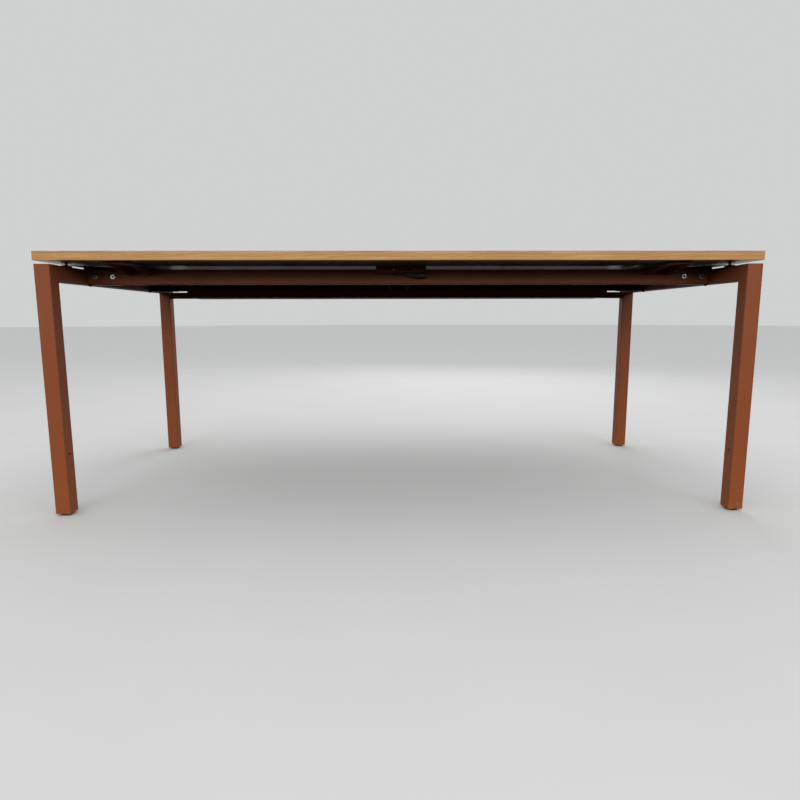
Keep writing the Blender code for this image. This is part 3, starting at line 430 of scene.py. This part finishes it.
def oak_grain(tree, along, across, rings, tones):
    """Colour, height and roughness of lacquered oak from its ring lines, fibres and pores."""
    pale, warm, line, pore, flash = tones
    broad = noise(tree, stretched(tree, along, across, 1.6, 14.0), 1.0, 3.0)
    fibre = noise(tree, stretched(tree, along, across, 14.0, 620.0), 1.0, 4.0, 0.65)
    pores = noise(tree, stretched(tree, along, across, 110.0, 1500.0), 1.0, 2.0)
    wave = arithmetic(tree, "SINE", arithmetic(tree, "MULTIPLY", rings, math.tau))
    late = spread(tree, wave, -0.2, 1.0, 0.0, 1.0)
    open_pore = arithmetic(tree, "MULTIPLY", spread(tree, pores, 0.58, 0.70, 0.0, 1.0),
                           spread(tree, late, 0.0, 0.8, 0.25, 0.9))
    tone = mixed(tree, spread(tree, broad, 0.3, 0.7, 0.0, 1.0), pale, warm)
    tone = mixed(tree, arithmetic(tree, "MULTIPLY", late, 0.55), tone, line)
    tone = mixed(tree, spread(tree, fibre, 0.45, 0.75, 0.0, 0.5), tone, line)
    streak = noise(tree, stretched(tree, along, across, 5.0, 210.0), 1.0, 2.0)
    tone = mixed(tree, spread(tree, streak, 0.30, 0.46, 0.75, 0.0), tone, line)
    tone = mixed(tree, spread(tree, streak, 0.54, 0.70, 0.0, 0.75), tone, flash)
    tone = mixed(tree, arithmetic(tree, "MULTIPLY", open_pore, 0.6), tone, pore)
    height = arithmetic(tree, "SUBTRACT", arithmetic(tree, "MULTIPLY", fibre, 0.35), open_pore)
    return tone, height, spread(tree, fibre, 0.3, 0.7, 0.40, 0.52)


oak_tones = [(0.760, 0.400, 0.145, 1.0), (0.680, 0.328, 0.102, 1.0), (0.520, 0.232, 0.068, 1.0),
             (0.250, 0.108, 0.034, 1.0), (0.860, 0.500, 0.225, 1.0)]
leaf_width = 0.1795
board_front = 0.4477  # the board's front edge, ahead of the desk's middle
board_finish, tree, shader, place = new_finish("oak_veneer")
axes = node(tree, "ShaderNodeSeparateXYZ", {"Vector": place}).outputs
from_front = arithmetic(tree, "ADD", axes["Y"], board_front)
row = arithmetic(tree, "FLOOR", arithmetic(tree, "DIVIDE", from_front, leaf_width))
leaf_chance = node(tree, "ShaderNodeTexWhiteNoise", {"W": row}, noise_dimensions="1D").outputs["Value"]
across = arithmetic(tree, "SUBTRACT", arithmetic(tree, "MODULO", from_front, leaf_width), 0.5 * leaf_width)
along = arithmetic(tree, "ADD", axes["X"], arithmetic(tree, "MULTIPLY", leaf_chance, 9.0))
wander = noise(tree, stretched(tree, along, across, 1.1, 5.0), 1.0, 3.0)
drift = noise(tree, point(tree, arithmetic(tree, "MULTIPLY", along, 0.45), 3.7), 1.0, 1.0)
rise = spread(tree, drift, 0.25, 0.75, -0.05, 0.13)
sway = arithmetic(tree, "MULTIPLY", arithmetic(tree, "SUBTRACT", wander, 0.5), 0.07)
offset = arithmetic(tree, "ADD", across, sway)
reach = arithmetic(tree, "SQRT", arithmetic(tree, "ADD", arithmetic(tree, "MULTIPLY", offset, offset),
                                            arithmetic(tree, "MULTIPLY", rise, rise)))
rings_per_metre = 170.0
rings = arithmetic(tree, "MULTIPLY", reach, rings_per_metre)
tone, height, gloss = oak_grain(tree, along, axes["Y"], rings, oak_tones)
leaf_shade = spread(tree, leaf_chance, 0.0, 1.0, 0.0, 0.18)
tone = mixed(tree, leaf_shade, tone, (0.54, 0.26, 0.086, 1.0))
speck = noise(tree, place, 700.0, 3.0)
sheet = mixed(tree, spread(tree, speck, 0.35, 0.7, 0.0, 1.0), (0.250, 0.246, 0.226, 1.0),
              (0.310, 0.304, 0.282, 1.0))
upward = node(tree, "ShaderNodeSeparateXYZ",
              {"Vector": node(tree, "ShaderNodeNewGeometry").outputs["Normal"]}).outputs["Z"]
upper = arithmetic(tree, "GREATER_THAN", upward, 0.3)
tree.links.new(mixed(tree, upper, sheet, tone), shader.inputs["Base Color"])
satin = spread(tree, speck, 0.3, 0.7, 0.17, 0.23)
tree.links.new(arithmetic(tree, "ADD", satin, arithmetic(tree, "MULTIPLY", upper,
                                                         arithmetic(tree, "SUBTRACT", gloss, satin))),
               shader.inputs["Roughness"])
grain_height = arithmetic(tree, "MULTIPLY", upper, height)
tree.links.new(bump(tree, grain_height, 0.3, 0.0002), shader.inputs["Normal"])
dress(["worktop_board"], board_finish)


# Edges: thin strips of solid oak glued to the board and eased, with slanting grain.
# The front and rear ones run the full length, the end ones fit between them.

def oak_edge(name, lengthwise):
    """Lacquered oak whose grain follows the length of an edge."""
    made, tree, shader, place = new_finish(name)
    axes = node(tree, "ShaderNodeSeparateXYZ", {"Vector": place}).outputs
    along = axes[lengthwise]
    across = axes["Z"]
    bend = noise(tree, point(tree, arithmetic(tree, "MULTIPLY", along, 1.3), 0.0), 1.0, 1.0)
    wander = noise(tree, stretched(tree, along, across, 6.0, 60.0), 1.0, 2.0)
    slant = arithmetic(tree, "SUBTRACT", arithmetic(tree, "MULTIPLY", across, 150.0),
                       arithmetic(tree, "MULTIPLY", along, 9.0))
    bowed = arithmetic(tree, "ADD", slant, arithmetic(tree, "MULTIPLY", bend, 12.0))
    rings = arithmetic(tree, "ADD", bowed, arithmetic(tree, "MULTIPLY", wander, 2.5))
    tone, height, gloss = oak_grain(tree, along, across, rings, oak_tones)
    tree.links.new(tone, shader.inputs["Base Color"])
    tree.links.new(gloss, shader.inputs["Roughness"])
    tree.links.new(bump(tree, height, 0.3, 0.0002), shader.inputs["Normal"])
    return made


long_edge = oak_edge("oak_long_edge", "X")
end_edge = oak_edge("oak_end_edge", "Y")
dress(["edge_front", "edge_rear"], long_edge)
dress(["edge_left", "edge_right"], end_edge)


# Guide strips and travel stops: black plastic bars screwed up into the board. The strips run along
# the arms and keep the top square, the stops meet the rails at both ends of the travel.

dress([f"guide_strip_{side}" for side in sides], black_plastic)
dress([f"travel_stop_{side}" for side in sides], black_plastic)


def row_of_screws(bm, low, high, shares, radius, height):
    """Screw heads along the lower face of a bar, at shares of its length."""
    for share in shares:
        spot = ((low.x + high.x) / 2, low.y + share * (high.y - low.y), low.z)
        pan_head(bm, spot, down, radius, height)


bm = bmesh.new()
for side in sides:
    low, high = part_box(f"guide_strip_{side}")
    row_of_screws(bm, low, high, (0.07, 0.36, 0.64, 0.93), 0.0034, 0.0008)
    low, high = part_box(f"travel_stop_{side}")
    row_of_screws(bm, low, high, (0.14, 0.86), 0.0036, 0.0016)
new_piece("guide_screws", bm, zinc, "top")


# Catch: a folded steel box screwed under the top, with the lever's pivot screw, a stop pin and a
# wound wire spring in it. The lever is moulded plastic with a rounded paddle for the fingers.

dress(["catch_housing"], frame_coat)
dress(["lever_pivot_screw"], zinc)
dress(["lever_stop_pin"], black_steel)
spring_wire = plated_steel("spring_wire", (0.36, 0.37, 0.39, 1.0), (0.26, 0.26, 0.27, 1.0))[0]
dress(["lever_spring"], spring_wire)

bm = bmesh.new()
low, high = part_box("catch_housing")
housing_sheet = 0.0015
housing_screw_inset = 0.010
for x in (low.x + housing_screw_inset, high.x - housing_screw_inset):
    pan_head(bm, (x, (low.y + high.y) / 2, high.z - housing_sheet), down, 0.0036, 0.0022)
new_piece("catch_screws", bm, zinc, "top")

lever_plastic = moulded_plastic("lever_plastic", (0.008, 0.009, 0.009, 1.0), (0.014, 0.015, 0.014, 1.0),
                                0.26, 0.36)
bm = bmesh.new()
bm.from_mesh(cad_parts["release_lever"].data)
bmesh.ops.remove_doubles(bm, verts=bm.verts, dist=1e-6)
bmesh.ops.dissolve_limit(bm, angle_limit=math.radians(1.0), verts=bm.verts, edges=bm.edges)
low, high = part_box("release_lever")
rounded_length = 0.042  # back from the paddle's tip
rounding = 0.0032
rims = [edge for edge in bm.edges if edge.is_manifold and edge.calc_face_angle() > math.radians(60)
        and all(vert.co.x > high.x - rounded_length for vert in edge.verts)]
bmesh.ops.bevel(bm, geom=rims, offset=rounding, offset_type="OFFSET", segments=5, profile=0.5,
                affect="EDGES", clamp_overlap=True, material=-1)
lever = new_piece("hand_lever", bm, lever_plastic, "lever")
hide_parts("release_lever")


# Brake pad: a strip of matt black rubber, cut from sheet and glued under the lever's nose.
# It presses on the rail and holds the top until the lever is pulled.

rubber, tree, shader, place = new_finish("rubber")
bloom = noise(tree, place, 120.0, 4.0, 0.6)
tree.links.new(mixed(tree, bloom, (0.022, 0.022, 0.022, 1.0), (0.045, 0.044, 0.042, 1.0)),
               shader.inputs["Base Color"])
tree.links.new(spread(tree, bloom, 0.3, 0.7, 0.78, 0.9), shader.inputs["Roughness"])
tree.links.new(bump(tree, noise(tree, place, 900.0, 2.0), 0.3, 0.0002), shader.inputs["Normal"])
dress(["brake_pad"], rubber)
